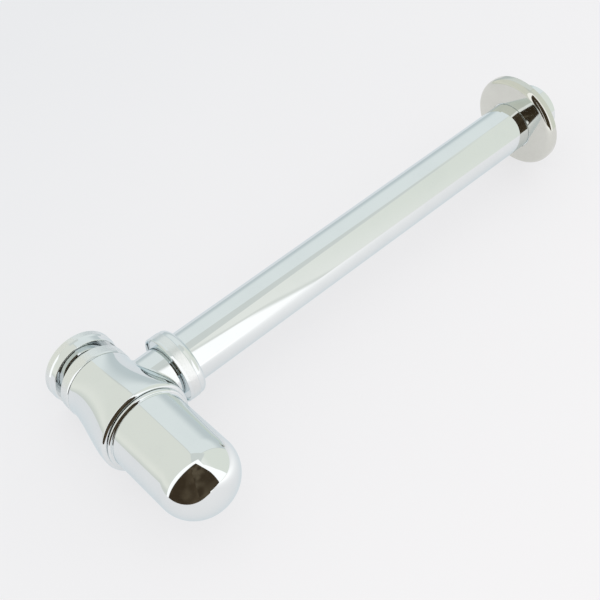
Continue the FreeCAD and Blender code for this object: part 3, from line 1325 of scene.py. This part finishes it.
@dataclass
class LightTent:
    """Soft light all round, and the tent's walls as metal shows them."""

    ground: Triple = TABLE_NORMAL
    background: Colour = (0.862, 0.864, 0.876)
    light: Colour = (1.0, 1.0, 1.0)
    left_wall: Colour = (0.808, 0.828, 0.762)
    left_glow: Colour = (0.905, 0.910, 0.840)
    right_wall: Colour = (0.810, 0.847, 0.779)
    right_glow: Colour = (0.960, 0.965, 0.935)
    back_wall: Colour = (0.819, 0.874, 0.869)
    back_foot: Colour = (0.603, 0.665, 0.674)
    roof: Colour = (0.692, 0.730, 0.705)
    flap: Colour = (1.20, 1.20, 1.20)
    opening: Colour = (0.045, 0.032, 0.019)
    opening_pale: Colour = (0.105, 0.082, 0.052)
    left_back: Cut = Cut((-0.135, 0.982, -0.133))
    back_right: Cut = Cut((0.090, -0.080, 0.993))
    flap_left: Cut = Cut((0.170, 0.177, 0.969))
    flap_right: Cut = Cut((0.241, 0.970, 0.0), 0.464)
    flap_end: Cut = Cut((0.085, 0.996, 0.0), 0.390)
    hem: float = 0.018
    gap_left: Cut = Cut((0.289, 0.052, 0.956))
    gap_right: Cut = Cut((0.057, 0.920, 0.386))
    gap_wall: Cut = Cut((0.0, 1.0, 0.0))
    roof_corners: Sequence[Triple] = (
        (0.960, 0.163, 0.230),
        (0.806, 0.582, -0.110),
        (0.893, 0.225, -0.390),
        (0.987, -0.054, -0.149),
    )
    soft: float = 0.012
    seam_width: float = 0.022
    seam_tone: Colour = (0.600, 0.628, 0.600)
    seam_share: float = 0.6
    glow_share: float = 0.6
    dim_share: float = 0.5
    back_rise: Span = (0.10, 0.45)
    right_fall: float = 0.62
    low_rise: Span = (-0.05, 0.06)
    low_fall: Span = (0.06, 0.36)
    foot_rise: Span = (-0.15, 0.0)
    cloud: Cloud = Cloud(1.6, 1.0, span=(0.35, 0.75))

    def build(self) -> None:
        """Writes the world."""
        world = bpy.data.worlds.new("light_tent")
        bpy.context.scene.world = world
        world.use_nodes = True
        graph = Graph(world.node_tree)
        toward = graph.node("ShaderNodeTexCoord", output="Generated")
        glossy = graph.light_path("Is Glossy Ray")
        mirrored = glossy.either(graph.light_path("Is Transmission Ray"))
        seen = graph.mix(graph.light_path("Is Camera Ray"), self.light, self.background)
        colour = graph.mix(mirrored, seen, self._colour(graph, toward))
        shader = graph.node("ShaderNodeBackground", sockets={"Color": colour, "Strength": 1.0})
        graph.node("ShaderNodeOutputWorld", sockets={"Surface": shader})

    def _side(self, graph: Graph, toward: Wire, cut: Cut) -> Wire:
        """1 on a cut's positive side, 0 on the other."""
        height = graph.dot(toward, cut.normal)
        return height.ramp(cut.offset - self.soft, cut.offset + self.soft)

    def _under(self, graph: Graph, toward: Wire, cuts: Sequence[Cut]) -> Wire:
        """1 where a direction is on the negative side of every cut.

        Args:
            graph: the world's graph.
            toward: the direction.
            cuts: the cuts.

        Returns:
            The share from 0 to 1.
        """
        share = 1.0 - self._side(graph, toward, cuts[0])
        for cut in cuts[1:]:
            share = share * (1.0 - self._side(graph, toward, cut))
        return share

    def _seam(self, graph: Graph, toward: Wire, cut: Cut) -> Wire:
        """1 on a seam, 0 away from it."""
        return 1.0 - abs(graph.dot(toward, cut.normal)).ramp(0.0, self.seam_width)

    def _roof_cuts(self) -> List[Cut]:
        """Finds the cuts along the roof panel's edges.

        Returns:
            The cuts, with the panel on their negative side.
        """
        corners = [Vector(c) for c in self.roof_corners]
        middle = sum(corners, Vector())
        normals = [a.cross(b).normalized() for a, b in zip(corners, corners[1:] + corners[:1])]
        return [Cut(tuple(-n if n.dot(middle) > 0.0 else n)) for n in normals]

    def _far_walls(self, graph: Graph, toward: Wire, above: Wire) -> Wire:
        """Colour of the back wall and the right wall.

        Args:
            graph: the world's graph.
            toward: the direction.
            above: 1 on the back wall, 0 on the right one.

        Returns:
            The colour.
        """
        height = graph.dot(toward, self.ground)
        back = graph.mix(height.ramp(*self.back_rise), self.back_foot, self.back_wall)
        beside = graph.dot(toward, self.flap_end.normal)
        glow = 1.0 - beside.ramp(self.flap_end.offset, self.right_fall)
        right = graph.mix(glow * self.glow_share, self.right_wall, self.right_glow)
        seam = self._seam(graph, toward, self.back_right) * self.seam_share
        return graph.mix(seam, graph.mix(above, right, back), self.seam_tone)

    def _left_wall(self, graph: Graph, toward: Wire) -> Wire:
        """Colour of the left wall, bright low down and dim at its foot.

        Args:
            graph: the world's graph.
            toward: the direction.

        Returns:
            The colour.
        """
        height = graph.dot(toward, self.ground)
        low = height.ramp(*self.low_rise) * (1.0 - height.ramp(*self.low_fall))
        wall = graph.mix(low * self.glow_share, self.left_wall, self.left_glow)
        foot = (1.0 - height.ramp(*self.foot_rise)) * self.dim_share
        return graph.mix(foot, wall, self.seam_tone)

    def _colour(self, graph: Graph, toward: Wire) -> Wire:
        """Colour of the tent in each direction.

        Args:
            graph: the world's graph.
            toward: the direction.

        Returns:
            The colour.
        """
        above = self._side(graph, toward, self.back_right)
        left = self._left_wall(graph, toward)
        far = self._far_walls(graph, toward, above)
        walls = graph.mix(self._side(graph, toward, self.left_back), left, far)
        corner = self._seam(graph, toward, self.left_back) * above
        walls = graph.mix(corner * self.seam_share, walls, self.seam_tone)
        walls = graph.mix(self._under(graph, toward, self._roof_cuts()), walls, self.roof)
        flap = (self.flap_left, self.flap_right, self.flap_end)
        hem = self._under(graph, toward, [Cut(c.normal, c.offset + self.hem) for c in flap])
        walls = graph.mix(hem * self.dim_share, walls, self.seam_tone)
        walls = graph.mix(self._under(graph, toward, flap), walls, self.flap)
        dim = graph.mix(self.cloud.patches(graph, toward), self.opening, self.opening_pale)
        gap = self._under(graph, toward, (self.gap_left, self.gap_right, self.gap_wall))
        return graph.mix(gap, walls, dim)


@dataclass
class DoorFlap:
    """Right-hand flap of the tent's door, which only metal shows; millimetres."""

    height: float = -250.0
    side: Sequence[Span] = ((-32.0, -62.0), (83.0, -71.0), (192.0, -83.0), (425.0, -90.0))
    inner: Sequence[Span] = ((-16.0, 50.0), (83.0, 49.0), (192.0, 37.0), (425.0, 22.0))
    outer: Sequence[Span] = ((-25.0, 128.0), (74.0, 92.0), (156.0, 77.0), (425.0, 30.0))
    white: Colour = (1.20, 1.20, 1.20)
    shade: Colour = (0.045, 0.033, 0.020)
    shade_pale: Colour = (0.105, 0.084, 0.055)
    cloud: Cloud = Cloud(13.0, 1.0, span=(0.35, 0.70))

    def _dim(self) -> bpy.types.Material:
        """Writes the dim opening beside the flap.

        Returns:
            The material.
        """
        material, graph = new_material("door_shade")
        tone = graph.mix(self.cloud.patches(graph), self.shade, self.shade_pale)
        close_material(graph, graph.node("ShaderNodeEmission", sockets={"Color": tone}))
        return material

    def _bright(self) -> bpy.types.Material:
        """Writes the flap's white cloth.

        Returns:
            The material.
        """
        material, graph = new_material("door_white")
        tone = opaque(self.white)
        close_material(graph, graph.node("ShaderNodeEmission", sockets={"Color": tone}))
        return material

    def build(self) -> bpy.types.Object:
        """Makes the flap and the opening beside it.

        Returns:
            The panel.
        """
        mesh = bmesh.new()
        lines = [
            [mesh.verts.new((x * MM, y * MM, self.height * MM)) for x, y in line]
            for line in (self.side, self.inner, self.outer)
        ]
        for index, (near, far) in enumerate(zip(lines, lines[1:])):
            for a, b, c, d in zip(near, near[1:], far[1:], far):
                mesh.faces.new((a, b, c, d)).material_index = index
        flap = new_object(mesh, "door_flap", (self._dim(), self._bright()))
        flap.visible_camera = False
        flap.visible_diffuse = False
        flap.visible_shadow = False
        return flap


@dataclass
class PhotoCamera:
    """Camera at the photograph's place; the position is in millimetres."""

    position: Triple = (454.3, -130.8, -443.7)
    right: Triple = (-0.1411, 0.7444, -0.6526)
    down: Triple = (-0.6968, -0.5429, -0.4686)
    forward: Triple = (-0.7032, 0.3887, 0.5953)
    focal_pixels: float = 1090.2
    frame_pixels: float = 600.0
    sensor: float = 36.0
    clip: Span = (20.0, 20000.0)

    def build(self) -> bpy.types.Object:
        """Makes the camera.

        Returns:
            The scene's camera.
        """
        data = bpy.data.cameras.new("photo_camera")
        data.sensor_width = self.sensor
        data.sensor_fit = "HORIZONTAL"
        data.lens = self.focal_pixels / self.frame_pixels * self.sensor
        data.clip_start, data.clip_end = (edge * MM for edge in self.clip)
        camera = bpy.data.objects.new("photo_camera", data)
        columns = (self.right, tuple(-c for c in self.down), tuple(-c for c in self.forward))
        turn = Matrix(columns).transposed().to_4x4()
        camera.matrix_world = Matrix.Translation(Vector(self.position) * MM) @ turn
        bpy.context.scene.collection.objects.link(camera)
        bpy.context.scene.camera = camera
        return camera


def main() -> None:
    """Builds the trap's pieces, the table, the light and the camera."""
    logging.basicConfig(level=logging.INFO, format="%(name)s %(message)s")
    bpy.context.scene.view_settings.view_transform = "Standard"
    finishes: Dict[Slot, bpy.types.Material] = {
        Slot.CHROME: ChromePlate().make(),
        Slot.STEEL: PolishedSteel().make(),
        Slot.RUBBER: SealRubber().make(),
        Slot.PLASTIC: SlipPlastic().make(),
    }
    knurled = KNURLED_CHROME.make()
    CadShell().dress(finishes)
    makers: Sequence[Callable[[], ScrewNut]] = (inlet_nut, neck_nut, outlet_nut)
    for maker in makers:
        maker().build(finishes[Slot.CHROME], knurled)
    DomedCup().build(finishes[Slot.CHROME])
    WallFlange().build(finishes[Slot.STEEL])
    for ridge in thread_ridges():
        ridge.build(finishes[Slot.CHROME])
    Table().build()
    LightTent().build()
    DoorFlap().build()
    PhotoCamera().build()


if __name__ == "__main__":
    main()
